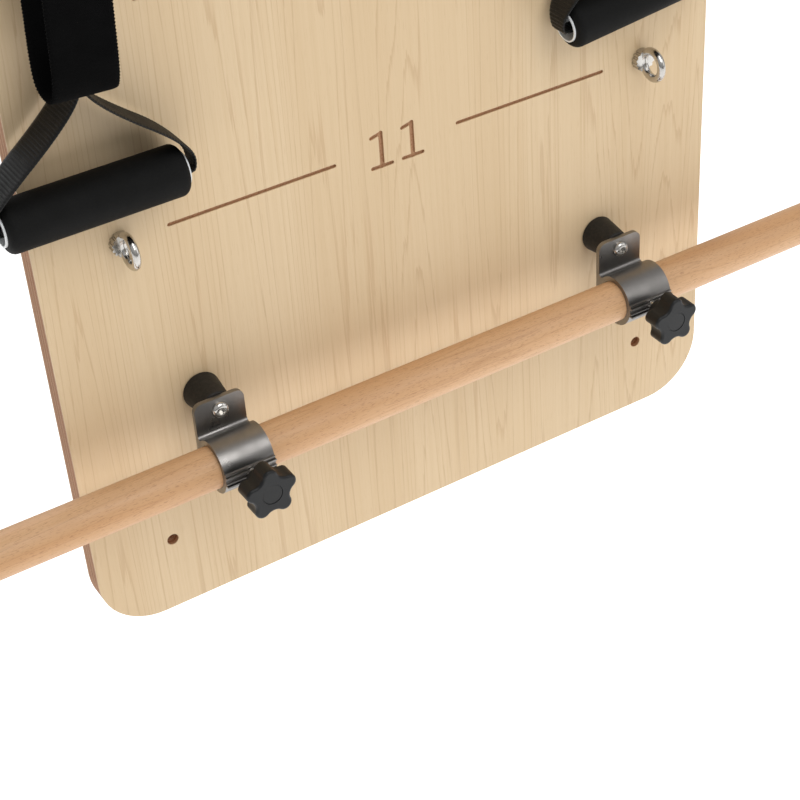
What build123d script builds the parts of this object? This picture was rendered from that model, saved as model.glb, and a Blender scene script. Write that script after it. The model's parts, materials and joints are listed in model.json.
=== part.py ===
"""Wall-mounted spring board with a clamped wooden bar, springs, handles and loops.

Millimetres, +Z up, +X to the right seen from the room. The wall is at y = 0 and the board's front
looks towards -Y. The origin is the middle of the four wall bolts, on the board's back face.
"""
from build123d import *
from math import asin, cos, degrees, pi, radians, sin
import os

# Board
board_width = 600.0
board_height = 2200.0
board_thick = 20.0
laminate = 0.8
corner_radius = 52.0
wall_hole_inset = 68.0
wall_hole_radius = 5.0

# Numbered levels, counted from the top; heights are above the board's bottom edge
level_count = 11
lowest_level = 347.0
top_margin = 103.0
line_inner = 53.7
line_end_gap = 37.6
line_width = 3.0
groove_depth = 2.0
digit_height = 28.0
digit_spacing = 27.6
digit_stroke = 3.2
stem_stroke = 4.0

# Threaded hardware (M8)
screw_radius = 4.0
thread_clearance = 0.05
hole_clearance = 0.3
washer_radius = 10.0
washer_thick = 1.6
nut_flats = 13.0
nut_thick = 6.5
counterbore_radius = 11.0
counterbore_spare = 1.0
screw_end_inset = 1.0

# Eye bolts
eye_inset = 67.0
eye_wire = 3.3
eye_mean_radius = 11.4
eye_reach = 16.0
collar_radius = 9.0
collar_height = 6.5
flute_count = 14
flute_radius = 1.1
flute_limit = 0.45

# Bar, clamps and standoffs
bar_radius = 17.0
bar_overhang = 200.0
bar_end_round = 2.0
bar_reach = 52.8
bar_height = 165.2
bar_gap = 0.3
clamp_inset = 111.0
clamp_width = 42.5
clamp_wall = 4.3
clamp_top = 208.5
clamp_corner = 7.0
tab_thick = 4.0
tab_reach = 28.0
tab_screw_height = 198.3
root_fillet = 3.0
mouth_start = -92.0
mouth_end = -150.0
rail_height = 11.2
rail_reach = 21.9
rib_width = 1.1
ribs = [(5.1, 22.7), (2.9, 24.5), (-2.6, 23.7), (-4.7, 24.9)]
standoff_base = 15.8
standoff_tip = 12.5
standoff_round = 1.8
head_radius = 7.0
head_height = 4.4
socket_flats = 5.0
socket_depth = 2.6

# Star knobs
lobe_count = 5
knob_radius = 21.6
lobe_radius = 6.2
valley_radius = 15.6
knob_depth = 15.0
knob_face = 56.5
hub_radius = 8.5
hub_end = 30.5
knob_round = 2.2
cap_radius = 8.0
cap_thick = 1.3
cap_gap = 0.35
plug_length = 4.0
plug_gap = 0.15

# Snap hooks, springs and rings
hang_level = 6
hang_shift = -16.5
hook_rod = 3.0
hook_width = 22.0
hook_length = 60.0
gate_radius = 2.6
gate_length = 27.0
gate_gap = 0.4
gate_drop = 2.0
tang_root = 1.0
tang_thick = 2.0
cheek_gap = 0.2
pin_radius = 0.9
pin_clearance = 0.06
bend_slack = 0.01
link_gap = 0.2
coil_radius = 11.0
coil_wire = 1.5
loop_end_radius = 8.0
lower_hook_level = 9
lower_hook_rise = 111.8
ring_rod = 2.0
ring_height = 24.0
ring_shoulder = 14.0
ring_corner = 2.9
ring_rise = 0.4
ring_spare = 2.0

# Handle
grip_heights = {"left": 401.0, "right": 417.0}
grip_tilts = {"left": 0.0, "right": 6.0}
grip_reach = 22.5
grip_shift = -22.0
foam_radius = 19.0
foam_length = 136.0
foam_round = 6.0
tube_radius = 12.5
tube_bore = 11.2
tube_length = 139.0
webbing_width = 34.0
webbing_thick = 2.4
core_width = 17.0
tube_end_gap = 5.0
strand_bend = 3.0
riser_overlap = 4.0
riser_taper = 0.6
wrap_inset = 0.5
apex_rise = 86.0
strand = [(12, 72), (32, 54), (58, 34), (74.5, 15), (77, 3), (72, -4)]
handle_ring_reach = 13.6
twist_drop = 75.0

# Foot loop
strap_width = 45.0
strap_thick = 3.0
loop_ring_reach = 18.4
loop_ring_tilt = 22.0
loop_bottom = 499.0
loop_lean = 3.0
loop_front_reach = 80.0
loop_rear_reach = 43.0
loop_shoulder_rise = 99.5
loop_shoulder_bend = 60.0
loop_neck_drop = 64.2
loop_neck_bend = 30.0
loop_top_drop = 8.0
loop_top_bends = (20.0, 10.0)
turn_spare = 0.5
bend_spare = 0.1

os.makedirs("parts", exist_ok=True)

front = -board_thick
level_pitch = (board_height - top_margin - lowest_level) / (level_count - 1)
eye_column = board_width / 2 - eye_inset
clamp_spacing = board_width / 2 - clamp_inset
line_outer = eye_column - line_end_gap
bar_length = board_width + 2 * bar_overhang
ring_outer = bar_radius + bar_gap + clamp_wall
eye_y = front - eye_reach
bar_y = front - bar_reach
sides = {"left": -1, "right": 1}
counterbore_depth = screw_end_inset + nut_thick + washer_thick + counterbore_spare


def up(height):
    """Model z of a height above the board's bottom edge."""
    return height - board_height / 2


bar_z = up(bar_height)


def level_z(number):
    return up(lowest_level + (level_count - number) * level_pitch)


def rod_y(radius, y_start, y_end, x=0.0, z=0.0):
    """A cylinder along Y between two y values."""
    middle = (y_start + y_end) / 2
    return Pos(x, middle, z) * Rot(90, 0, 0) * Cylinder(radius, abs(y_end - y_start))


def rod_x(radius, x_start, x_end, y=0.0, z=0.0):
    """A cylinder along X between two x values."""
    middle = (x_start + x_end) / 2
    return Pos(middle, y, z) * Rot(0, 90, 0) * Cylinder(radius, abs(x_end - x_start))


def prism_y(sketch, y_start, depth):
    """Extrude a sketch drawn in X and Z from y_start towards the room."""
    return Pos(0, y_start, 0) * extrude(Plane.XZ * sketch, depth)


def prism_x(sketch, width):
    """Extrude a sketch drawn in Y and Z, centred on x = 0."""
    return Pos(-width / 2, 0, 0) * extrude(Plane.YZ * sketch, width)


def save(node, solids):
    """Write one node: a solid, or several separate solids."""
    pieces = solids if isinstance(solids, list) else [solids]
    bodies = [solid for piece in pieces for solid in piece.solids()]
    shape = bodies[0] if len(bodies) == 1 else Compound(children=bodies)
    shape.label = node
    export_step(shape, f"parts/{node}.step")


# Numbers routed in the board

def stroke(start, end, width=digit_stroke):
    """A straight round-ended cutter path."""
    line = Line(start, end)
    ends = [Pos(*point) * Circle(width / 2) for point in (start, end)]
    return trace(line, width) + ends


def bow(x, y, radius, start, sweep, width=digit_stroke):
    """A curved round-ended cutter path."""
    arc = CenterArc((x, y), radius, start, sweep)
    tips = [Pos(arc @ place) * Circle(width / 2) for place in (0, 1)]
    return trace(arc, width) + tips


def digit(figure):
    """One routed figure, its foot at y = 0 and its middle at x = 0."""
    top = digit_height
    half = 0.27 * digit_height
    if figure == 0:
        uprights = stroke((-half, half), (-half, top - half)) + stroke((half, half), (half, top - half))
        return uprights + bow(0, top - half, half, 0, 180) + bow(0, half, half, 180, 180)
    if figure == 1:
        foot = stroke((-0.31 * top, 0), (0.31 * top, 0))
        return stroke((0, 0), (0, top), stem_stroke) + foot + stroke((0, top), (-0.3 * top, 0.93 * top))
    if figure == 2:
        return (bow(0, top - half, half, -20, 200) + stroke((half * 0.94, top - half * 1.34), (-half, 0))
                + stroke((-half, 0), (half, 0)))
    if figure == 3:
        return bow(0, top - 0.24 * top, 0.24 * top, -90, 240) + bow(0, 0.26 * top, 0.26 * top, -150, 240)
    if figure == 4:
        return (stroke((0.12 * top, 0), (0.12 * top, top)) + stroke((0.12 * top, top), (-half, 0.3 * top))
                + stroke((-half, 0.3 * top), (half, 0.3 * top)))
    if figure == 5:
        flag = stroke((-0.2 * top, top), (0.24 * top, top))
        neck = stroke((-0.2 * top, top), (-0.23 * top, 0.53 * top))
        return flag + neck + bow(0, 0.3 * top, 0.3 * top, -140, 270)
    if figure == 6:
        return bow(0, 0.27 * top, 0.27 * top, 0, 360) + stroke((-0.235 * top, 0.4 * top), (0.14 * top, top))
    if figure == 7:
        return stroke((-half, top), (half, top)) + stroke((half, top), (-0.1 * top, 0))
    if figure == 8:
        return bow(0, 0.27 * top, 0.27 * top, 0, 360) + bow(0, 0.77 * top, 0.23 * top, 0, 360)
    return Pos(0, top) * Rot(0, 0, 180) * digit(6)


def routing():
    """Every level's number and its two lines, as one sketch in X and Z."""
    marks = Sketch()
    line_length = line_outer - line_inner
    for number in range(1, level_count + 1):
        height = level_z(number)
        figures = [int(sign) for sign in str(number)]
        for place, figure in enumerate(figures):
            x = (place - (len(figures) - 1) / 2) * digit_spacing
            marks += Pos(x, height - digit_height / 2) * digit(figure)
        for side in sides.values():
            middle = side * (line_inner + line_outer) / 2
            marks += Pos(middle, height) * SlotOverall(line_length, line_width)
    return marks


# Board

eye_places = {side: [(sign * eye_column, level_z(n)) for n in range(1, level_count + 1)]
              for side, sign in sides.items()}
screw_places = [(sign * clamp_spacing, up(tab_screw_height)) for sign in sides.values()]
wall_x = board_width / 2 - wall_hole_inset
wall_z = board_height / 2 - wall_hole_inset
wall_places = [(x, z) for x in (-wall_x, wall_x) for z in (-wall_z, wall_z)]
bolted_places = eye_places["left"] + eye_places["right"] + screw_places


def holes(places, radius):
    return Sketch() + [Pos(x, z) * Circle(radius) for x, z in places]


outline = RectangleRounded(board_width, board_height, corner_radius)
bolt_holes = holes(wall_places, wall_hole_radius) + holes(bolted_places, screw_radius + hole_clearance)
counterbores = holes(bolted_places, counterbore_radius)
marks = routing()

core = prism_y(outline - bolt_holes, -laminate, board_thick - 2 * laminate)
core -= prism_y(counterbores, 0, counterbore_depth)
core -= prism_y(marks, front + groove_depth, groove_depth)
save("board_core", core)
save("front_laminate", prism_y(outline - bolt_holes - marks, front + laminate, laminate))
save("back_laminate", prism_y(outline - holes(wall_places, wall_hole_radius) - counterbores, 0, laminate))


# Eye bolts, nuts and washers

def eye_bolt():
    """Ring, fluted collar and M8 shank, with the board's front face at y = front."""
    body = rod_y(collar_radius, front, front - collar_height)
    body += Pos(0, eye_y, 0) * Rot(0, 90, 0) * Torus(eye_mean_radius, eye_wire)
    body += rod_y(screw_radius, front, -screw_end_inset)
    for turn in range(flute_count):
        angle = 2 * pi * turn / flute_count
        if abs(cos(angle)) > flute_limit:
            groove_x = collar_radius * cos(angle)
            groove_z = collar_radius * sin(angle)
            body -= rod_y(flute_radius, front, front - collar_height - flute_radius, groove_x, groove_z)
    return body


bolt = eye_bolt()
for side, places in eye_places.items():
    save(f"eye_bolts_{side}", [Pos(x, 0, z) * bolt for x, z in places])

seat = -counterbore_depth
washer = rod_y(washer_radius, seat, seat + washer_thick) - rod_y(screw_radius + hole_clearance, seat, 0)
nut_end = seat + washer_thick + nut_thick
nut = prism_y(RegularPolygon(nut_flats / 2, 6, major_radius=False), nut_end, nut_thick)
nut -= rod_y(screw_radius + thread_clearance, seat, 0)
save("back_washers", [Pos(x, 0, z) * washer for x, z in bolted_places])
save("back_nuts", [Pos(x, 0, z) * nut for x, z in bolted_places])


# Standoffs, clamps and bar

def standoff():
    """Tapered rubber spacer between the board and a clamp's tab."""
    cone = Pos(0, front - tab_reach / 2, 0) * Rot(90, 0, 0) * Cone(standoff_base, standoff_tip, tab_reach)
    rims = cone.edges().filter_by(GeomType.CIRCLE)
    return fillet(rims, standoff_round) - rod_y(screw_radius + hole_clearance, front, front - tab_reach)


def clamp_profile():
    """Section of the clamp in Y and Z: tab, hooked ring and ribbed rail for the knob's screw."""
    axis = Pos(bar_y, bar_z)
    tab_bottom = bar_z + ring_outer * sin(radians(mouth_end))
    tab_top = up(clamp_top)
    tab_place = Pos(front - tab_reach - tab_thick / 2, (tab_bottom + tab_top) / 2)
    tab = tab_place * Rectangle(tab_thick, tab_top - tab_bottom)
    bulk = axis * Circle(ring_outer) + tab
    corner = bulk.vertices().sort_by_distance((front - tab_reach - tab_thick, bar_z + ring_outer / 3))[0]
    bulk = fillet(corner, root_fillet)
    bulk += Pos(bar_y - rail_reach / 2, bar_z) * Rectangle(rail_reach, rail_height)
    for height, reach in ribs:
        bulk += Pos(bar_y - reach / 2, bar_z + height) * Rectangle(reach, rib_width)
    mouth_points = [(0, 0)]
    for angle in (mouth_start, (mouth_start + mouth_end) / 2, mouth_end):
        mouth_points.append((-2 * ring_outer * cos(radians(angle)), 2 * ring_outer * sin(radians(angle))))
    mouth = axis * make_face(Polyline(*mouth_points, close=True))
    return bulk - axis * Circle(bar_radius + bar_gap) - mouth


def clamp():
    body = prism_x(clamp_profile(), clamp_width)
    tips = body.edges().filter_by(Axis.Y).group_by(Axis.Z)[-1]
    body = fillet(tips, clamp_corner)
    body -= rod_y(screw_radius + hole_clearance, front, bar_y, 0, up(tab_screw_height))
    return body - rod_y(screw_radius + thread_clearance, bar_y, bar_y - 2 * ring_outer, 0, bar_z)


def clamp_screw():
    """Button-head M8 screw through tab, standoff and board."""
    seat_y = front - tab_reach - tab_thick
    head = rod_y(head_radius, seat_y, seat_y - head_height)
    rim = head.edges().filter_by(GeomType.CIRCLE).sort_by(Axis.Y)[0]
    head = fillet(rim, 0.8 * head_height)
    hexagon = RegularPolygon(socket_flats / 2, 6, major_radius=False)
    socket = prism_y(hexagon, seat_y - head_height + socket_depth, 2 * socket_depth)
    return head - socket + rod_y(screw_radius, seat_y, -screw_end_inset)


spacer = Pos(0, 0, up(tab_screw_height)) * standoff()
clamp_body = clamp()
for side, sign in sides.items():
    save(f"standoff_{side}", Pos(sign * clamp_spacing, 0, 0) * spacer)
    save(f"clamp_{side}", Pos(sign * clamp_spacing, 0, 0) * clamp_body)
save("clamp_screws", [Pos(x, 0, z) * clamp_screw() for x, z in screw_places])

bar = rod_x(bar_radius, -bar_length / 2, bar_length / 2, bar_y, bar_z)
save("wooden_bar", fillet(bar.edges().filter_by(GeomType.CIRCLE), bar_end_round))


# Star knobs

def polar(radius, angle):
    return Vector(radius * cos(angle), radius * sin(angle))


def knob_outline():
    """Rounded lobes joined smoothly by shallow valleys, one lobe straight up."""
    step = pi / lobe_count
    lobe_distance = knob_radius - lobe_radius
    inward = lobe_distance * cos(step)
    spare = lobe_radius**2 - lobe_distance**2 - valley_radius**2 + 2 * inward * valley_radius
    valley_curve = spare / (2 * (valley_radius - inward - lobe_radius))
    arcs = []
    for turn in range(lobe_count):
        angle = pi / 2 + 2 * step * turn
        lobe = polar(lobe_distance, angle)
        dips = [polar(valley_radius + valley_curve, angle + side * step) for side in (-1, 1, 3)]
        joins = [lobe + (dip - lobe) * lobe_radius / (lobe_radius + valley_curve) for dip in dips[:2]]
        onward = polar(lobe_distance, angle + 2 * step)
        onward_join = onward + (dips[1] - onward) * lobe_radius / (lobe_radius + valley_curve)
        arcs.append(ThreePointArc(joins[0], polar(knob_radius, angle), joins[1]))
        arcs.append(ThreePointArc(joins[1], polar(valley_radius, angle + step), onward_join))
    return make_face(Wire(arcs))


def knob():
    face_y = bar_y - knob_face
    skirt = prism_y(knob_outline(), face_y + knob_depth, knob_depth)
    skirt = fillet(skirt.edges().group_by(Axis.Y)[0], knob_round)
    hub = rod_y(hub_radius, face_y + knob_depth / 2, bar_y - hub_end)
    recess = rod_y(cap_radius + cap_gap, face_y, face_y + cap_thick + cap_gap)
    return skirt + hub - recess - rod_y(screw_radius, bar_y, face_y + knob_depth / 2)


plug_start = bar_y - bar_radius - plug_gap
stud_start = plug_start - plug_length - plug_gap
face_y = bar_y - knob_face
cap = rod_y(cap_radius, face_y + cap_gap, face_y + cap_gap + cap_thick)
plug = rod_y(screw_radius - thread_clearance, plug_start, stud_start + plug_gap)
stud = rod_y(screw_radius, stud_start, face_y + knob_depth / 2)
for side, sign in sides.items():
    place = Pos(sign * clamp_spacing, 0, bar_z)
    save(f"knob_{side}", place * knob())
    save(f"knob_cap_{side}", place * cap)
    save(f"knob_stud_{side}", place * stud)
    save(f"pressure_plug_{side}", place * plug)


# Snap hooks, springs and rings

def hook_parts():
    """Body, gate and pin of a snap hook in the XZ plane, its upper end's centre line at z = 0.

    It hangs down, and its gate is on the +X side.
    """
    half = hook_width / 2
    pivot_z = -half - gate_radius - gate_drop
    rod_end = pivot_z + gate_radius + gate_gap
    nose_z = pivot_z - gate_length
    points = [(half, 0, rod_end), (half, 0, 0), (-half, 0, 0),
              (-half, 0, -hook_length), (half, 0, -hook_length), (half, 0, nose_z)]
    path = FilletPolyline(*points, radius=half - bend_slack)
    body = sweep(Plane(origin=path @ 0, z_dir=path % 0) * Circle(hook_rod), path)
    tang_top = rod_end + tang_root
    body += Pos(half, 0, (pivot_z + tang_top) / 2) * Box(2 * gate_radius, tang_thick, tang_top - pivot_z)
    body += rod_y(gate_radius, -tang_thick / 2, tang_thick / 2, half, pivot_z)
    gate_bottom = nose_z + gate_gap
    gate = Pos(half, 0, (pivot_z + gate_bottom) / 2) * Cylinder(gate_radius, pivot_z - gate_bottom)
    gate += rod_y(gate_radius, -gate_radius, gate_radius, half, pivot_z)
    slot_bottom = pivot_z - gate_radius - gate_gap
    slot_height = 3 * gate_radius
    gate -= (Pos(half, 0, slot_bottom + slot_height / 2)
             * Box(4 * gate_radius, tang_thick + 2 * cheek_gap, slot_height))
    gate -= rod_y(pin_radius + pin_clearance, -hook_rod, hook_rod, half, pivot_z)
    body -= rod_y(pin_radius, -hook_rod, hook_rod, half, pivot_z)
    pin = rod_y(pin_radius, -gate_radius, gate_radius, half, pivot_z)
    return {"body": body, "gate": gate, "pin": pin}


def d_ring(inner_width):
    """Steel ring in the XZ plane, its top centre line at z = 0 and its straight bar below."""
    half = inner_width / 2 + ring_rod
    points = [(-half, 0, -ring_height), (half, 0, -ring_height), (half, 0, 0), (-half, 0, 0)]
    bends = [ring_corner, ring_corner, ring_shoulder, ring_shoulder]
    path = FilletPolyline(*points, radius=bends, close=True)
    return sweep(Plane(origin=path @ 0, z_dir=path % 0) * Circle(ring_rod), path)


hook = hook_parts()
nest = hook_rod + eye_wire + link_gap
eye_hang_z = level_z(hang_level) - eye_mean_radius
lower_bend = hook_length - nest - hook_width / 2
hook_tilt = asin(-hang_shift / lower_bend)
loop_drop = hook_width / 2 - hook_rod - coil_wire - link_gap
loop_top_z = eye_hang_z - lower_bend * cos(hook_tilt) - loop_drop
coil_top = loop_top_z - 2 * loop_end_radius - coil_wire
lower_hook_z = level_z(lower_hook_level) + lower_hook_rise
lower_top_z = lower_hook_z + hook_length
loop_low_z = lower_top_z - hook_rod - coil_wire - link_gap
coil_bottom = loop_low_z + 2 * loop_end_radius + coil_wire + link_gap
ring_top_z = lower_hook_z + hook_rod + ring_rod + link_gap + ring_rise
ring_bar_z = ring_top_z - ring_height

end_loop = Torus(loop_end_radius, coil_wire)
coil_middle = (coil_top + coil_bottom) / 2
coil_length = coil_top - coil_bottom
coil_tube = Cylinder(coil_radius, coil_length) - Cylinder(coil_radius - 2 * coil_wire, 2 * coil_length)
for side, sign in sides.items():
    column = sign * eye_column
    hang_x = column + hang_shift
    tilted = Pos(column, eye_y, eye_hang_z) * Rot(0, degrees(hook_tilt), 0) * Pos(0, 0, nest)
    turned = Pos(hang_x, eye_y, lower_top_z) * Rot(0, 0, -90)
    for piece, solid in hook.items():
        save(f"upper_hook_{piece}_{side}", tilted * solid)
        save(f"lower_hook_{piece}_{side}", turned * solid)
    top_loop_place = Pos(hang_x, eye_y, loop_top_z - loop_end_radius)
    bottom_loop_place = Pos(hang_x, eye_y, loop_low_z + loop_end_radius)
    save(f"spring_top_loop_{side}", top_loop_place * Rot(0, 90, 0) * end_loop)
    save(f"spring_coil_{side}", Pos(hang_x, eye_y, coil_middle) * coil_tube)
    save(f"spring_bottom_loop_{side}", bottom_loop_place * Rot(90, 0, 0) * end_loop)


# Handles and foot loops

def band(points, radius, thick):
    """A closed strap of even thickness round a polygon drawn in a plane."""
    path = FilletPolyline(*points, radius=radius, close=True)
    face = make_face(path)
    return offset(face, thick / 2) - offset(face, -thick / 2)


def riser(grip, hang_x):
    """Doubled webbing from the apex over the grip up to the ring's bar, with a quarter twist."""
    apex = (grip * Pos(0, 0, apex_rise - riser_overlap)).position
    top = Vector(hang_x, front - handle_ring_reach, ring_bar_z - ring_rod)
    sections = []
    for share in (0.0, 0.25, 0.5, 0.75, 1.0):
        drop = share * twist_drop
        sideways = (apex.X - top.X) * drop / (top.Z - apex.Z)
        middle = (top.X + sideways, top.Y + (apex.Y - top.Y) * share, top.Z - drop)
        across = Vector(cos(share * pi / 2), sin(share * pi / 2), 0)
        sections.append(Plane(middle, across) * Rectangle(webbing_width, 2 * webbing_thick))
    end = Rectangle(webbing_width - riser_taper, 2 * webbing_thick)
    sections.append(Plane(apex, Vector(0, 1, 0)) * end)
    return loft(sections, ruled=True)


def handle_webbing(grip, hang_x):
    """Triangle of webbing that runs through the grip's tube, with its riser and ring wrap."""
    outline_points = [(0, apex_rise)] + strand + [(-x, z) for x, z in reversed(strand)]
    ring = band(outline_points, strand_bend, webbing_thick)
    mouth = Rectangle(tube_length + 2 * tube_end_gap, 2 * tube_bore)
    wide = Pos(0, webbing_width / 2, 0) * extrude(Plane.XZ * (ring - mouth), webbing_width)
    narrow = Pos(0, core_width / 2, 0) * extrude(Plane.XZ * (ring & mouth), core_width)
    bar_place = Pos(hang_x, front - handle_ring_reach, ring_bar_z)
    bar_room = bar_place * rod_x(ring_rod + link_gap, -webbing_width, webbing_width)
    wrap_end = webbing_width / 2 - wrap_inset
    wrap = bar_place * rod_x(ring_rod + link_gap + 2 * webbing_thick, -wrap_end, wrap_end)
    return grip * (wide + narrow) + (riser(grip, hang_x) + wrap - bar_room)


def loop_strap():
    """Foot loop in Y and Z, hung on its ring's tilted bar."""
    tilt = radians(loop_ring_tilt)
    bar_y_place = front - loop_ring_reach - ring_height * sin(tilt)
    bar_z_place = ring_top_z - ring_height * cos(tilt)
    snug = ring_rod + link_gap + strap_thick / 2
    low = up(loop_bottom) + strap_thick / 2
    ring_front, ring_back = bar_y_place - snug, bar_y_place + snug
    strap_top, throat = bar_z_place + snug, bar_z_place - loop_top_drop
    front_y, rear_y = front - loop_front_reach, front - loop_rear_reach
    points = [(ring_front, strap_top), (ring_front, throat),
              (front_y, low + loop_shoulder_rise), (front_y, low),
              (rear_y, low), (rear_y, bar_z_place - loop_neck_drop),
              (ring_back, throat), (ring_back, strap_top)]
    turn = (rear_y - front_y) / 2 - turn_spare
    hug = snug - bend_spare
    radii = [hug, loop_top_bends[0], loop_shoulder_bend, turn, turn, loop_neck_bend, loop_top_bends[1], hug]
    return prism_x(band(points, radii, strap_thick), strap_width)


grip_tube = rod_x(tube_radius, -tube_length / 2, tube_length / 2)
grip_tube -= rod_x(tube_bore, -tube_length, tube_length)
foam = rod_x(foam_radius, -foam_length / 2, foam_length / 2)
foam = fillet(foam.edges().filter_by(GeomType.CIRCLE), foam_round)
foam -= rod_x(tube_radius, -tube_length, tube_length)
for side, sign in sides.items():
    hang_x = sign * eye_column + hang_shift
    grip = Pos(sign * eye_column + grip_shift, front - grip_reach, up(grip_heights[side]))
    grip *= Rot(0, -grip_tilts[side], 0)
    save(f"handle_tube_{side}", grip * grip_tube)
    save(f"handle_grip_{side}", grip * foam)
    save(f"handle_webbing_{side}", handle_webbing(grip, hang_x))
    handle_ring = d_ring(webbing_width + ring_spare)
    save(f"handle_ring_{side}", Pos(hang_x, front - handle_ring_reach, ring_top_z) * handle_ring)
    pivot = Pos(hang_x, 0, ring_top_z) * Rot(0, loop_lean, 0) * Pos(0, 0, -ring_top_z)
    save(f"loop_strap_{side}", pivot * loop_strap())
    loop_ring = Rot(-loop_ring_tilt, 0, 0) * d_ring(strap_width + ring_spare)
    save(f"loop_ring_{side}", pivot * Pos(0, front - loop_ring_reach, ring_top_z) * loop_ring)
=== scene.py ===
import json
import math
import bpy
from mathutils import Matrix, Vector


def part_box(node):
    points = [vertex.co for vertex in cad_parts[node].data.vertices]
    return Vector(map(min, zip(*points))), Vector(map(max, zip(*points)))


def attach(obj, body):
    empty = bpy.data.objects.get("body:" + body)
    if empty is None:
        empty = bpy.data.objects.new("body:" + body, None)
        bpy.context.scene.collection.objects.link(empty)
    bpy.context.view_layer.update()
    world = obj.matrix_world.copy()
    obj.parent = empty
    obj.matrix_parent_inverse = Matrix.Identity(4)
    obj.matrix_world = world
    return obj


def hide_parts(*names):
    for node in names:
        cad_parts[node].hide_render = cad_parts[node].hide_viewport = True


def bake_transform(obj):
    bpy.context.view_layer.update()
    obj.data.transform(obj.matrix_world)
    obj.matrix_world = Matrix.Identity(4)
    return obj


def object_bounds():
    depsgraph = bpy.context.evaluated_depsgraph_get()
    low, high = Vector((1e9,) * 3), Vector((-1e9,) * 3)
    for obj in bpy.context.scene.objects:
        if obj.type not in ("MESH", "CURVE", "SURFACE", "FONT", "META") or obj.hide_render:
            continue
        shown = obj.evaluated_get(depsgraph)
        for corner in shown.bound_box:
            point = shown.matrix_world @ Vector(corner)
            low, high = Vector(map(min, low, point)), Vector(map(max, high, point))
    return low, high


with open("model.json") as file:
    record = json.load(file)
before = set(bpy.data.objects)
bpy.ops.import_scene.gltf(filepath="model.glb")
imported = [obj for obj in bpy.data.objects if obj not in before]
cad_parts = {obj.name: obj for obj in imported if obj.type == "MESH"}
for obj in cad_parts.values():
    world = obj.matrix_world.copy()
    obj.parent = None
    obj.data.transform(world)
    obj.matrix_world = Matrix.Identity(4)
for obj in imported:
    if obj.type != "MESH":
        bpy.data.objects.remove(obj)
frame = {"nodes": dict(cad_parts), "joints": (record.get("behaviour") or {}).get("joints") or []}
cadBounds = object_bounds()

nodes = frame["nodes"]
joints = {joint["name"]: joint for joint in frame["joints"]}
sides = ("left", "right")


# small helpers for shader trees

def feed(tree, socket, value):
    if isinstance(value, bpy.types.NodeSocket):
        tree.links.new(value, socket)
    else:
        socket.default_value = value


def calc(tree, operation, *values):
    node = tree.nodes.new("ShaderNodeMath")
    node.operation = operation
    for socket, value in zip(node.inputs, values):
        feed(tree, socket, value)
    return node.outputs[0]


def stretch(tree, place, scale):
    node = tree.nodes.new("ShaderNodeVectorMath")
    node.operation = "MULTIPLY"
    feed(tree, node.inputs[0], place)
    feed(tree, node.inputs[1], scale)
    return node.outputs[0]


def remap(tree, value, low, high, outLow=0.0, outHigh=1.0):
    node = tree.nodes.new("ShaderNodeMapRange")
    node.interpolation_type = "SMOOTHSTEP"
    for name, item in (("Value", value), ("From Min", low), ("From Max", high),
                       ("To Min", outLow), ("To Max", outHigh)):
        feed(tree, node.inputs[name], item)
    return node.outputs["Result"]


def noise(tree, place, scale, detail=2.0, rough=0.5):
    node = tree.nodes.new("ShaderNodeTexNoise")
    feed(tree, node.inputs["Vector"], place)
    feed(tree, node.inputs["Scale"], scale)
    node.inputs["Detail"].default_value = detail
    node.inputs["Roughness"].default_value = rough
    return node.outputs["Fac"]


def blendColor(tree, share, first, second, mode="MIX"):
    node = tree.nodes.new("ShaderNodeMix")
    node.data_type = "RGBA"
    node.blend_type = mode
    feed(tree, node.inputs["Factor"], share)
    feed(tree, node.inputs["A"], first)
    feed(tree, node.inputs["B"], second)
    return node.outputs["Result"]


def newGroup(name, inputs, outputs):
    tree = bpy.data.node_groups.new(name, "ShaderNodeTree")
    for label, kind, value in inputs:
        socket = tree.interface.new_socket(label, in_out="INPUT", socket_type="NodeSocket" + kind)
        socket.default_value = value
    for label in outputs:
        tree.interface.new_socket(label, in_out="OUTPUT", socket_type="NodeSocketFloat")
    entry = tree.nodes.new("NodeGroupInput")
    leave = tree.nodes.new("NodeGroupOutput")
    return tree, entry.outputs, leave.inputs


def useGroup(tree, group, **values):
    node = tree.nodes.new("ShaderNodeGroup")
    node.node_tree = group
    for name, value in values.items():
        feed(tree, node.inputs[name], value)
    return node.outputs


def makeWoodGrain():
    inputs = [("Place", "Vector", (0, 0, 0)), ("Figure", "Vector", (1, 1, 1)), ("Fibre", "Vector", (1, 1, 1)),
              ("Ticks", "Vector", (1, 1, 1)), ("Rings", "Float", 12.0), ("TickShare", "Float", 0.6)]
    tree, given, result = newGroup("woodGrain", inputs, ["Lines", "Fibres", "Flecks", "Cloud"])
    field = noise(tree, stretch(tree, given["Place"], given["Figure"]), 1.0, 1.5, 0.45)
    fibres = noise(tree, stretch(tree, given["Place"], given["Fibre"]), 1.0, 3.0, 0.6)
    wobble = calc(tree, "MULTIPLY", fibres, 0.018)
    rings = calc(tree, "MULTIPLY", calc(tree, "ADD", field, wobble), given["Rings"])
    tooth = calc(tree, "FRACT", rings)
    rise = remap(tree, tooth, 0.8, 0.97)
    fall = remap(tree, tooth, 0.97, 1.0, 1.0, 0.0)
    feed(tree, result["Lines"], calc(tree, "MULTIPLY", rise, fall))
    feed(tree, result["Fibres"], fibres)
    ticks = noise(tree, stretch(tree, given["Place"], given["Ticks"]), 1.0, 1.0, 0.5)
    feed(tree, result["Flecks"], remap(tree, ticks, given["TickShare"], calc(tree, "ADD", given["TickShare"], 0.07)))
    feed(tree, result["Cloud"], field)
    return tree


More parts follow.
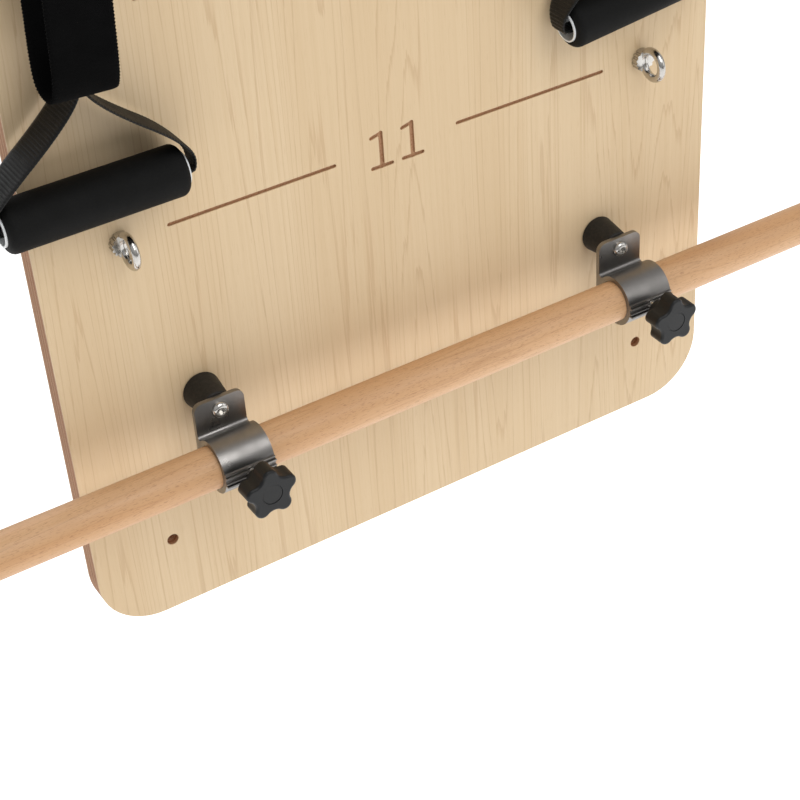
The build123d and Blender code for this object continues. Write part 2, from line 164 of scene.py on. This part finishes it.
def makeSpeckle():
    inputs = [("Place", "Vector", (0, 0, 0)), ("Grain", "Float", 900.0), ("Patch", "Float", 30.0)]
    tree, given, result = newGroup("speckle", inputs, ["Grain", "Patch", "Scuff"])
    feed(tree, result["Grain"], noise(tree, given["Place"], given["Grain"], 3.0, 0.6))
    patch = noise(tree, given["Place"], given["Patch"], 3.0, 0.55)
    feed(tree, result["Patch"], patch)
    feed(tree, result["Scuff"], remap(tree, patch, 0.55, 0.75))
    return tree


woodGrain = makeWoodGrain()
speckle = makeSpeckle()


def newMaterial(name, **fixed):
    material = bpy.data.materials.new(name)
    material.use_nodes = True
    tree = material.node_tree
    shader = tree.nodes["Principled BSDF"]
    for socket, value in fixed.items():
        shader.inputs[socket.replace("_", " ")].default_value = value
    place = tree.nodes.new("ShaderNodeTexCoord").outputs["Object"]
    return material, tree, shader, place


def bumpFrom(tree, shader, height, strength, depth):
    bump = tree.nodes.new("ShaderNodeBump")
    bump.inputs["Strength"].default_value = strength
    bump.inputs["Distance"].default_value = depth
    feed(tree, bump.inputs["Height"], height)
    feed(tree, shader.inputs["Normal"], bump.outputs["Normal"])


def color(red, green, blue):
    # screen values from 0 to 255, as the shader wants them
    return tuple((value / 255 / 12.92) if value < 10 else ((value / 255 + 0.055) / 1.055) ** 2.4
                 for value in (red, green, blue)) + (1.0,)


mapleLook = dict(pale=color(221, 196, 159), warm=color(211, 183, 143), line=color(182, 146, 104),
                 figure=(14, 14, 0.5), fibre=(420, 420, 4), ticks=(1300, 1300, 60), rings=34.0)


def makeMaple():
    look = mapleLook
    material, tree, shader, place = newMaterial("mapleLaminate", Coat_Roughness=0.25, IOR=1.45)
    grain = useGroup(tree, woodGrain, Place=place, Figure=look["figure"], Fibre=look["fibre"],
                     Ticks=look["ticks"], Rings=look["rings"], TickShare=0.62)
    tone = blendColor(tree, remap(tree, grain["Fibres"], 0.3, 0.75, 0.0, 0.5), look["pale"], look["warm"])
    tone = blendColor(tree, remap(tree, grain["Cloud"], 0.35, 0.7, 0.0, 0.55), tone, look["warm"])
    tone = blendColor(tree, calc(tree, "MULTIPLY", grain["Lines"], 0.36), tone, look["line"])
    tone = blendColor(tree, calc(tree, "MULTIPLY", grain["Flecks"], 0.14), tone, look["line"])
    feed(tree, shader.inputs["Base Color"], tone)
    feed(tree, shader.inputs["Roughness"], remap(tree, grain["Fibres"], 0.2, 0.8, 0.4, 0.52))
    bumpFrom(tree, shader, calc(tree, "ADD", grain["Fibres"], grain["Lines"]), 0.12, 0.0002)
    return material


coreLook = dict(brown=color(184, 132, 92), dark=color(140, 90, 58), grey=color(204, 170, 134), ply=0.0026)


def makeCore():
    look = coreLook
    material, tree, shader, place = newMaterial("plywoodCore", IOR=1.4)
    grain = useGroup(tree, woodGrain, Place=place, Figure=(40, 60, 30), Fibre=(900, 2600, 40),
                     Ticks=(700, 2400, 500), Rings=6.0, TickShare=0.55)
    axes = tree.nodes.new("ShaderNodeSeparateXYZ")
    feed(tree, axes.inputs[0], place)
    plies = calc(tree, "FRACT", calc(tree, "DIVIDE", axes.outputs["Y"], look["ply"]))
    glue = remap(tree, calc(tree, "ABSOLUTE", calc(tree, "SUBTRACT", plies, 0.5)), 0.36, 0.5)
    swap = remap(tree, calc(tree, "PINGPONG", calc(tree, "DIVIDE", axes.outputs["Y"], look["ply"]), 1.0), 0.4, 0.6)
    tone = blendColor(tree, remap(tree, grain["Fibres"], 0.3, 0.7), look["brown"], look["dark"])
    tone = blendColor(tree, calc(tree, "MULTIPLY", swap, 0.45), tone, look["grey"])
    tone = blendColor(tree, calc(tree, "MULTIPLY", glue, 0.5), tone, look["dark"])
    tone = blendColor(tree, calc(tree, "MULTIPLY", grain["Flecks"], 0.5), tone, look["dark"])
    feed(tree, shader.inputs["Base Color"], tone)
    feed(tree, shader.inputs["Roughness"], remap(tree, grain["Fibres"], 0.2, 0.8, 0.6, 0.8))
    bumpFrom(tree, shader, grain["Fibres"], 0.3, 0.0004)
    return material


beechLook = dict(pale=color(214, 172, 130), warm=color(202, 154, 108), fleck=color(152, 102, 62),
                 figure=(3, 60, 60), fibre=(26, 700, 700), ticks=(230, 2000, 2000), rings=7.0)


def makeBeech():
    look = beechLook
    material, tree, shader, place = newMaterial("beechLacquered", Coat_Roughness=0.2, IOR=1.46)
    grain = useGroup(tree, woodGrain, Place=place, Figure=look["figure"], Fibre=look["fibre"],
                     Ticks=look["ticks"], Rings=look["rings"], TickShare=0.6)
    tone = blendColor(tree, remap(tree, grain["Cloud"], 0.3, 0.7), look["pale"], look["warm"])
    tone = blendColor(tree, remap(tree, grain["Fibres"], 0.35, 0.7, 0.0, 0.4), tone, look["warm"])
    tone = blendColor(tree, calc(tree, "MULTIPLY", grain["Lines"], 0.2), tone, look["fleck"])
    tone = blendColor(tree, calc(tree, "MULTIPLY", grain["Flecks"], 0.4), tone, look["fleck"])
    feed(tree, shader.inputs["Base Color"], tone)
    feed(tree, shader.inputs["Roughness"], remap(tree, grain["Fibres"], 0.2, 0.8, 0.38, 0.5))
    bumpFrom(tree, shader, calc(tree, "SUBTRACT", grain["Fibres"], grain["Flecks"]), 0.12, 0.0002)
    return material


def makeMetal(name, base, rough, grainSize, patchSize, strength, darken=0.25):
    material, tree, shader, place = newMaterial(name, Metallic=1.0)
    marks = useGroup(tree, speckle, Place=place, Grain=grainSize, Patch=patchSize)
    shade = remap(tree, marks["Patch"], 0.3, 0.75, 0.0, darken)
    feed(tree, shader.inputs["Base Color"], blendColor(tree, shade, base, (0.05, 0.045, 0.04, 1.0)))
    feed(tree, shader.inputs["Roughness"], remap(tree, marks["Patch"], 0.25, 0.75, rough * 0.75, rough * 1.35))
    bumpFrom(tree, shader, marks["Grain"], strength, 0.00015)
    return material


def makeMatt(name, base, worn, rough, grainSize, strength, depth=0.0003, **fixed):
    material, tree, shader, place = newMaterial(name, **fixed)
    marks = useGroup(tree, speckle, Place=place, Grain=grainSize, Patch=35.0)
    tone = blendColor(tree, remap(tree, marks["Grain"], 0.35, 0.7, 0.0, 0.6), base, worn)
    tone = blendColor(tree, calc(tree, "MULTIPLY", marks["Scuff"], 0.5), tone, worn)
    feed(tree, shader.inputs["Base Color"], tone)
    feed(tree, shader.inputs["Roughness"], remap(tree, marks["Patch"], 0.25, 0.75, rough - 0.06, rough + 0.06))
    bumpFrom(tree, shader, marks["Grain"], strength, depth)
    return material


def makeCloth(name, base, pale, threads, rough=0.85, sheen=0.02, shine=0.3):
    # threads is the number of threads in a metre, along and across the strap's own map
    material, tree, shader, place = newMaterial(name, Sheen_Weight=sheen, Sheen_Roughness=0.4,
                                                Specular_IOR_Level=shine)
    strapMap = tree.nodes.new("ShaderNodeUVMap")
    strapMap.uv_map = "strapMap"
    axes = tree.nodes.new("ShaderNodeSeparateXYZ")
    feed(tree, axes.inputs[0], strapMap.outputs["UV"])
    marks = useGroup(tree, speckle, Place=place, Grain=1400.0, Patch=60.0)
    warp = calc(tree, "SINE", calc(tree, "MULTIPLY", axes.outputs["X"], threads[0] * 2 * math.pi))
    weft = calc(tree, "SINE", calc(tree, "MULTIPLY", axes.outputs["Y"], threads[1] * 2 * math.pi))
    weave = calc(tree, "MULTIPLY", warp, weft)
    # shade mixes the yarn's random grain tone with the weave term; the weave part lightens the thread crests and
    # darkens the hollows between them, which is painted highlight and painted shade
    shade = calc(tree, "ADD", calc(tree, "MULTIPLY", marks["Grain"], 0.6), calc(tree, "MULTIPLY", weave, 0.2))
    tone = blendColor(tree, remap(tree, shade, 0.1, 0.7), base, pale)
    feed(tree, shader.inputs["Base Color"], tone)
    feed(tree, shader.inputs["Roughness"], remap(tree, marks["Patch"], 0.3, 0.7, rough - 0.05, rough + 0.05))
    bumpFrom(tree, shader, calc(tree, "ADD", weave, marks["Grain"]), 0.35, 0.0003)
    return material


print("materials")
finishes = {
    "maple": makeMaple(),
    "core": makeCore(),
    "beech": makeBeech(),
    "stainless": makeMetal("stainlessPolished", color(206, 203, 198), 0.17, 500.0, 60.0, 0.05),
    "zinc": makeMetal("zincPlated", color(190, 192, 194), 0.26, 900.0, 90.0, 0.08),
    "springWire": makeMetal("springWire", color(184, 186, 188), 0.24, 1200.0, 70.0, 0.08),
    "gunmetal": makeMetal("gunmetalSatin", color(142, 139, 136), 0.34, 1500.0, 40.0, 0.4, darken=0.2),
    "rubber": makeMatt("blackRubber", color(26, 24, 21), color(44, 40, 35), 0.55, 420.0, 0.3,
                       Specular_IOR_Level=0.3),
    "knobPlastic": makeMatt("knobPlastic", color(13, 14, 15), color(22, 23, 25), 0.42, 1500.0, 0.18,
                            Specular_IOR_Level=0.35),
    "capPlastic": makeMatt("capPlastic", color(12, 13, 14), color(20, 21, 22), 0.34, 1700.0, 0.1,
                           Specular_IOR_Level=0.35),
    "plugPlastic": makeMatt("plugPlastic", color(214, 212, 205), color(190, 188, 180), 0.4, 1500.0, 0.1),
    "foam": makeMatt("gripFoam", color(12, 12, 12), color(22, 22, 20), 0.7, 1300.0, 0.4, 0.0004,
                     Specular_IOR_Level=0.14),
    "whiteTube": makeMatt("whiteTube", color(238, 240, 240), color(222, 224, 224), 0.3, 700.0, 0.05, IOR=1.5),
    "webbing": makeCloth("ribbedWebbing", color(7, 7, 7), color(22, 22, 21), (900, 900), rough=0.45),
    "softStrap": makeCloth("knittedStrap", color(5, 5, 5), color(12, 12, 12), (620, 620), rough=0.92,
                           sheen=0.005, shine=0.06),
    "thread": makeCloth("stitchThread", color(24, 24, 24), color(56, 55, 53), (2600, 2600), rough=0.6),
}

cadFinishes = {
    "board_core": "core", "front_laminate": "maple", "back_laminate": "maple", "wooden_bar": "beech",
    "eye_bolts": "stainless", "back_nuts": "zinc", "back_washers": "zinc", "clamp_screws": "stainless",
    "clamp": "gunmetal", "standoff": "rubber", "knob": "knobPlastic", "knob_cap": "capPlastic",
    "knob_stud": "stainless", "pressure_plug": "plugPlastic", "upper_hook": "stainless",
    "lower_hook": "stainless", "spring": "springWire", "handle_ring": "stainless", "loop_ring": "stainless",
    "handle_tube": "whiteTube", "handle_grip": "foam", "handle_webbing": "webbing", "loop_strap": "softStrap",
}


def dressNodes():
    for name, item in nodes.items():
        key = max((start for start in cadFinishes if name.startswith(start)), key=len)
        item.data.materials.clear()
        item.data.materials.append(finishes[cadFinishes[key]])


dressNodes()


# paths and swept pieces

def smoothLine(points, rounds, closed):
    for _ in range(rounds):
        pairs = list(zip(points, points[1:] + points[:1])) if closed else list(zip(points, points[1:]))
        cut = [corner for a, b in pairs for corner in (a.lerp(b, 0.25), a.lerp(b, 0.75))]
        points = cut if closed else [points[0]] + cut[1:-1] + [points[-1]]
    return points


def spaced(points, step, closed):
    loop = points + [points[0]] if closed else points
    lengths = [(b - a).length for a, b in zip(loop, loop[1:])]
    count = max(2, round(sum(lengths) / step))
    result, index, passed = [], 0, 0.0
    for turn in range(count if closed else count + 1):
        wanted = sum(lengths) * turn / count
        while index < len(lengths) - 1 and passed + lengths[index] < wanted:
            passed += lengths[index]
            index += 1
        share = (wanted - passed) / lengths[index] if lengths[index] else 0.0
        result.append(loop[index].lerp(loop[index + 1], min(1.0, share)))
    return result


def meshPiece(name, points, faces, finish, strapMap=None):
    mesh = bpy.data.meshes.new(name)
    mesh.from_pydata(points, [], faces)
    mesh.validate()
    for face in mesh.polygons:
        face.use_smooth = True
    if strapMap:
        layer = mesh.uv_layers.new(name="strapMap")
        for loop in mesh.loops:
            layer.data[loop.index].uv = strapMap[loop.vertex_index]
    mesh.materials.append(finishes[finish])
    piece = bpy.data.objects.new(name, mesh)
    bpy.context.scene.collection.objects.link(piece)
    return piece


def sweepStrap(name, line, look, finish, closed=True):
    # line is a list of (place, across, width, cup): a strap with ribs and rounded edges follows it
    count = len(line)
    columns = look["columns"]
    rim = 2 * columns
    points, faces, strapMap = [], [], []
    passed = 0.0
    for index, (place, across, width, cup) in enumerate(line):
        before = line[index - 1][0] if closed or index else place
        after = line[(index + 1) % count][0] if closed or index < count - 1 else place
        if index:
            passed += (place - line[index - 1][0]).length
        ahead = (after - before).normalized()
        side = (across - ahead * across.dot(ahead)).normalized()
        face = side.cross(ahead)
        rib = 0.5 - 0.5 * math.cos(2 * math.pi * passed / look["ribPitch"])
        edge = width / 2 + look["selvedge"] * math.cos(2 * math.pi * passed / look["selvedgePitch"])
        for step in range(rim):
            top = step < columns
            share = (step if top else rim - 1 - step) / (columns - 1)
            u = 2 * share - 1
            fall = math.sqrt(max(0.0, 1 - abs(u) ** look["edgePower"]))
            ribbed = 1 - look["ribDepth"] * rib * fall
            height = look["thick"] / 2 * (fall * ribbed + look["edgeLeft"] * (1 - fall))
            offset = height if top else -height
            points.append(place + side * (u * edge) + face * (offset + cup * u * u))
            strapMap.append((passed, u * width / 2))
    last = count if closed else count - 1
    for index in range(last):
        here, there = index * rim, ((index + 1) % count) * rim
        for step in range(rim):
            onward = (step + 1) % rim
            faces.append((here + step, here + onward, there + onward, there + step))
    if not closed:
        faces.append(tuple(reversed(range(rim))))
        faces.append(tuple(range((count - 1) * rim, count * rim)))
    return meshPiece(name, points, faces, finish, strapMap)


webbingLook = dict(thick=0.0025, columns=13, ribPitch=0.0028, ribDepth=0.62, edgePower=10, edgeLeft=0.3,
                   selvedge=0.00015, selvedgePitch=0.0028, width=0.034, tubeWidth=0.0155, step=0.0007,
                   strand=[(0.0725, -0.0035), (0.0765, 0.003), (0.0742, 0.015), (0.058, 0.034), (0.032, 0.054),
                           (0.012, 0.072)], apexRise=0.086, twistDrop=0.075, ringRod=0.002, gap=0.0003,
                   tubeEnd=0.062, fullWidthHeight=0.040)


def buildWebbing(side):
    look = webbingLook
    roll = joints[f"grip_roll_{side}"]
    middle = Vector(roll["pos_m"])
    along = Vector(roll["axis"]).normalized()
    acrossTube = Vector((0, 1, 0))
    rise = along.cross(acrossTube).normalized()
    low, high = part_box(f"handle_ring_{side}")
    bar = Vector(((low.x + high.x) / 2, (low.y + high.y) / 2, low.z + look["ringRod"]))
    hug = look["ringRod"] + look["gap"] + look["thick"] / 2

    def atGrip(x, z):
        return middle + along * x + rise * z

    # right strand, then up the riser's front layer, round the ring's bar and down the back layer
    route = [(atGrip(x, z), acrossTube) for x, z in look["strand"]]
    apex = atGrip(0, look["apexRise"])
    top = bar - Vector((0, 0, hug))
    layers = []
    risers = 24
    for step in range(risers + 1):
        share = step / risers
        place = apex.lerp(top, share)
        down = (top.z - place.z) / look["twistDrop"]
        depth = min(1.0, down)
        place.y = top.y + (apex.y - top.y) * depth
        turn = (1 - depth) * math.pi / 2
        across = Vector((math.sin(turn), math.cos(turn), 0))
        facing = Vector((math.cos(turn), -math.sin(turn), 0))
        layers.append((place, across, facing))
    half = look["thick"] / 2 + look["gap"] / 2
    route += [(place + facing * half, across) for place, across, facing in layers[:-1]]
    for angle in range(-60, 61, 20):
        turn = math.radians(angle)
        route.append((bar + Vector((0, hug * math.sin(turn), hug * math.cos(turn))), Vector((1, 0, 0))))
    route += [(place - facing * half, across) for place, across, facing in reversed(layers[:-1])]
    route += [(atGrip(-x, z), acrossTube) for x, z in reversed(look["strand"])]

    places = smoothLine([place for place, _ in route], 3, True)
    acrosses = smoothLine([across for _, across in route], 3, True)
    fine = spaced(places, look["step"], True)
    nearest = 0
    line = []
    for place in fine:
        span = range(nearest, min(nearest + 6, len(places)))
        nearest = min(span, key=lambda index: (places[index] - place).length)
        local = place - middle
        share = 1.0
        if abs(local.dot(along)) < look["tubeEnd"] and local.dot(rise) < 0.01:
            share = 0.0
        elif local.dot(rise) < look["fullWidthHeight"]:
            share = (local.dot(rise) + 0.004) / (look["fullWidthHeight"] + 0.004)
        share = min(1.0, max(0.0, share))
        share = share * share * (3 - 2 * share)
        width = look["tubeWidth"] + (look["width"] - look["tubeWidth"]) * share
        line.append((place, acrosses[nearest], width, 0.0))
    piece = sweepStrap(f"webbing_{side}", line, look, "webbing")
    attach(piece, f"handle_{side}")
    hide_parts(f"handle_webbing_{side}")
    return layers, apex


strapLook = dict(thick=0.003, columns=17, ribPitch=0.0026, ribDepth=0.04, edgePower=14, edgeLeft=0.6,
                 selvedge=0.00035, selvedgePitch=0.0024, width=0.045, step=0.0006, lean=3.0,
                 ringRod=0.002, ringHeight=0.024, ringTilt=22.0, gap=0.0003, frontReach=0.0616, rearReach=0.0246,
                 drop=0.3139, shoulderRise=0.0995, neckDrop=0.0642, topDrop=0.008)


def buildLoop(side):
    look = strapLook
    pivot = Vector(joints[f"loop_swing_{side}"]["pos_m"])
    tilt = math.radians(look["ringTilt"])
    barY = -look["ringHeight"] * math.sin(tilt)
    barZ = -look["ringHeight"] * math.cos(tilt)
    hug = look["ringRod"] + look["gap"] + look["thick"] / 2
    flat = [(barY - hug, barZ - look["topDrop"]), (-look["frontReach"] * 0.93, -look["drop"] + look["shoulderRise"] * 1.5),
            (-look["frontReach"], -look["drop"] + look["shoulderRise"]),
            (-look["frontReach"] - 0.0005, -look["drop"] + 0.045), (-look["frontReach"], -look["drop"] + 0.012),
            (-look["frontReach"] + 0.008, -look["drop"]), (-look["rearReach"] - 0.008, -look["drop"]),
            (-look["rearReach"], -look["drop"] + 0.012), (-look["rearReach"], -look["drop"] + 0.06),
            (-look["rearReach"], barZ - look["neckDrop"]), (barY + hug, barZ - look["topDrop"])]
    for angle in (75, 50, 25, 0, -25, -50, -75):
        turn = math.radians(angle)
        flat.append((barY + hug * math.sin(turn), barZ + hug * math.cos(turn)))
    lean = Matrix.Rotation(math.radians(look["lean"]), 3, "Y")
    across = lean @ Vector((1, 0, 0))
    places = [pivot + lean @ Vector((0, y, z)) for y, z in flat]
    fine = spaced(smoothLine(places, 3, True), look["step"], True)
    line = [(place, across, look["width"], 0.0) for place in fine]
    piece = sweepStrap(f"footLoop_{side}", line, look, "softStrap")
    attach(piece, f"loop_{side}")
    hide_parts(f"loop_strap_{side}")


stitchLook = dict(long=0.0026, gap=0.0011, thick=0.00035, inset=0.003)


def buildStitches(name, side, corners, normal, finish, body):
    # a row of short thread lengths along each edge of a sewn box
    look = stitchLook
    points, faces = [], []
    pitch = look["long"] + look["gap"]
    for start, end in zip(corners, corners[1:] + corners[:1]):
        run = end - start
        ahead = run.normalized()
        across = normal.cross(ahead)
        for turn in range(int(run.length / pitch)):
            first = start + ahead * (turn * pitch + look["gap"] / 2)
            base = len(points)
            segments = 6
            for step in range(segments + 1):
                share = step / segments
                swell = look["thick"] * (0.35 + 0.65 * math.sin(math.pi * share))
                centre = first + ahead * (look["long"] * share) + normal * (look["thick"] * 0.4 * math.sin(math.pi * share))
                for corner in range(6):
                    angle = corner * math.pi / 3
                    points.append(centre + (across * math.cos(angle) + normal * math.sin(angle)) * swell)
            for step in range(segments):
                for corner in range(6):
                    a = base + step * 6 + corner
                    b = base + step * 6 + (corner + 1) % 6
                    faces.append((a, b, b + 6, a + 6))
            faces.append(tuple(base + corner for corner in reversed(range(6))))
            faces.append(tuple(base + segments * 6 + corner for corner in range(6)))
    piece = meshPiece(name, points, faces, finish, [(point.x, point.z) for point in points])
    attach(piece, body)


def sewRiser(side, layers, apex):
    # the sewn box just above the grip, on both faces of the doubled webbing
    look = stitchLook
    half = webbingLook["width"] / 2 - look["inset"]
    ahead = (layers[-1][0] - layers[0][0]).normalized()
    low, high = apex + ahead * 0.006, apex + ahead * 0.036
    for label, way in (("Out", 1), ("In", -1)):
        normal = Vector((way, 0, 0))
        lift = normal * (webbingLook["thick"] + webbingLook["gap"])
        across = Vector((0, half, 0))
        corners = [low - across + lift, low + across + lift, high + across + lift, high - across + lift]
        buildStitches(f"riserStitches{label}_{side}", side, corners, normal, "thread", f"handle_{side}")


springLook = dict(radius=0.0095, wire=0.0015, turnSegments=26, wireSides=9)


def buildSpring(side):
    look = springLook
    low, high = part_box(f"spring_coil_{side}")
    centre = Vector(((low.x + high.x) / 2, (low.y + high.y) / 2, 0))
    bottom, top = low.z + look["wire"], high.z - look["wire"]
    turns = round((top - bottom) / (2 * look["wire"] + 0.00002))
    steps = turns * look["turnSegments"]
    points, faces = [], []
    sideCount = look["wireSides"]
    for step in range(steps + 1):
        turn = 2 * math.pi * step / look["turnSegments"]
        out = Vector((math.cos(turn), math.sin(turn), 0))
        middle = centre + out * look["radius"] + Vector((0, 0, top - (top - bottom) * step / steps))
        for corner in range(sideCount):
            angle = 2 * math.pi * corner / sideCount
            points.append(middle + (out * math.cos(angle) + Vector((0, 0, math.sin(angle)))) * look["wire"])
    for step in range(steps):
        for corner in range(sideCount):
            a = step * sideCount + corner
            b = step * sideCount + (corner + 1) % sideCount
            faces.append((a, a + sideCount, b + sideCount, b))
    faces.append(tuple(range(sideCount)))
    faces.append(tuple(reversed(range(steps * sideCount, (steps + 1) * sideCount))))
    piece = meshPiece(f"springCoil_{side}", points, faces, "springWire")
    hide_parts(f"spring_coil_{side}")
    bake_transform(piece)


for side in sides:
    layers, apex = buildWebbing(side)
    sewRiser(side, layers, apex)
    buildLoop(side)
    buildSpring(side)
    print("straps and spring", side)


# floor, lights and camera

stageLook = dict(floorDrop=0.9, floorSize=14.0, floorTone=color(246, 246, 246), floorGlow=0.7)


def buildFloor():
    look = stageLook
    half = look["floorSize"] / 2
    height = cadBounds[0][2] - look["floorDrop"]
    mesh = bpy.data.meshes.new("floor")
    mesh.from_pydata([(-half, -half, height), (half, -half, height), (half, half, height), (-half, half, height)],
                     [], [(0, 1, 2, 3)])
    floor = bpy.data.objects.new("floor", mesh)
    material, tree, shader, place = newMaterial("paleFloor", Roughness=0.9)
    shader.inputs["Base Color"].default_value = look["floorTone"]
    shader.inputs["Emission Color"].default_value = look["floorTone"]
    shader.inputs["Emission Strength"].default_value = look["floorGlow"]
    mesh.materials.append(material)
    bpy.context.scene.collection.objects.link(floor)


lampLook = {
    "keyLamp": dict(place=(0.3, -2.7, 2.3), aim=(0, 0, -0.7), size=2.6, power=60.0),
    "fillLamp": dict(place=(2.7, -2.2, 0.2), aim=(0, 0, -0.8), size=2.2, power=14.0),
    "backLamp": dict(place=(0.4, 2.8, 1.6), aim=(0, 0, -0.6), size=2.6, power=45.0),
}
skyLook = dict(low=0.08, high=0.52, rise=0.6)


def buildLamps():
    for name, look in lampLook.items():
        lamp = bpy.data.lights.new(name, "AREA")
        lamp.shape = "SQUARE"
        lamp.size = look["size"]
        lamp.energy = look["power"]
        item = bpy.data.objects.new(name, lamp)
        item.location = look["place"]
        aim = Vector(look["aim"]) - Vector(look["place"])
        item.rotation_euler = aim.to_track_quat("-Z", "Y").to_euler()
        bpy.context.scene.collection.objects.link(item)
    world = bpy.data.worlds.new("studio")
    world.use_nodes = True
    world.node_tree.nodes["Background"].inputs["Color"].default_value = (1.0, 1.0, 1.0, 1.0)
    tree = world.node_tree
    axes = tree.nodes.new("ShaderNodeSeparateXYZ")
    feed(tree, axes.inputs[0], tree.nodes.new("ShaderNodeTexCoord").outputs["Generated"])
    sky = remap(tree, axes.outputs["Z"], -skyLook["rise"], skyLook["rise"], skyLook["low"], skyLook["high"])
    feed(tree, tree.nodes["Background"].inputs["Strength"], sky)
    bpy.context.scene.world = world
    bpy.context.scene.view_settings.view_transform = "Standard"


cameraLook = dict(place=(-0.6338, -1.1237, -0.0665), right=(0.8476, -0.527, -0.0613),
                  up=(0.3536, 0.475, 0.8058), lens=84.53, sensor=36.0)


def buildCamera():
    look = cameraLook
    right = Vector(look["right"]).normalized()
    up = Vector(look["up"])
    up = (up - right * up.dot(right)).normalized()
    back = right.cross(up)
    data = bpy.data.cameras.new("camera")
    data.lens = look["lens"]
    data.sensor_width = look["sensor"]
    item = bpy.data.objects.new("camera", data)
    turn = Matrix((right, up, back)).transposed().to_4x4()
    item.matrix_world = Matrix.Translation(look["place"]) @ turn
    bpy.context.scene.collection.objects.link(item)
    bpy.context.scene.camera = item


buildFloor()
buildLamps()
buildCamera()
print("stage")
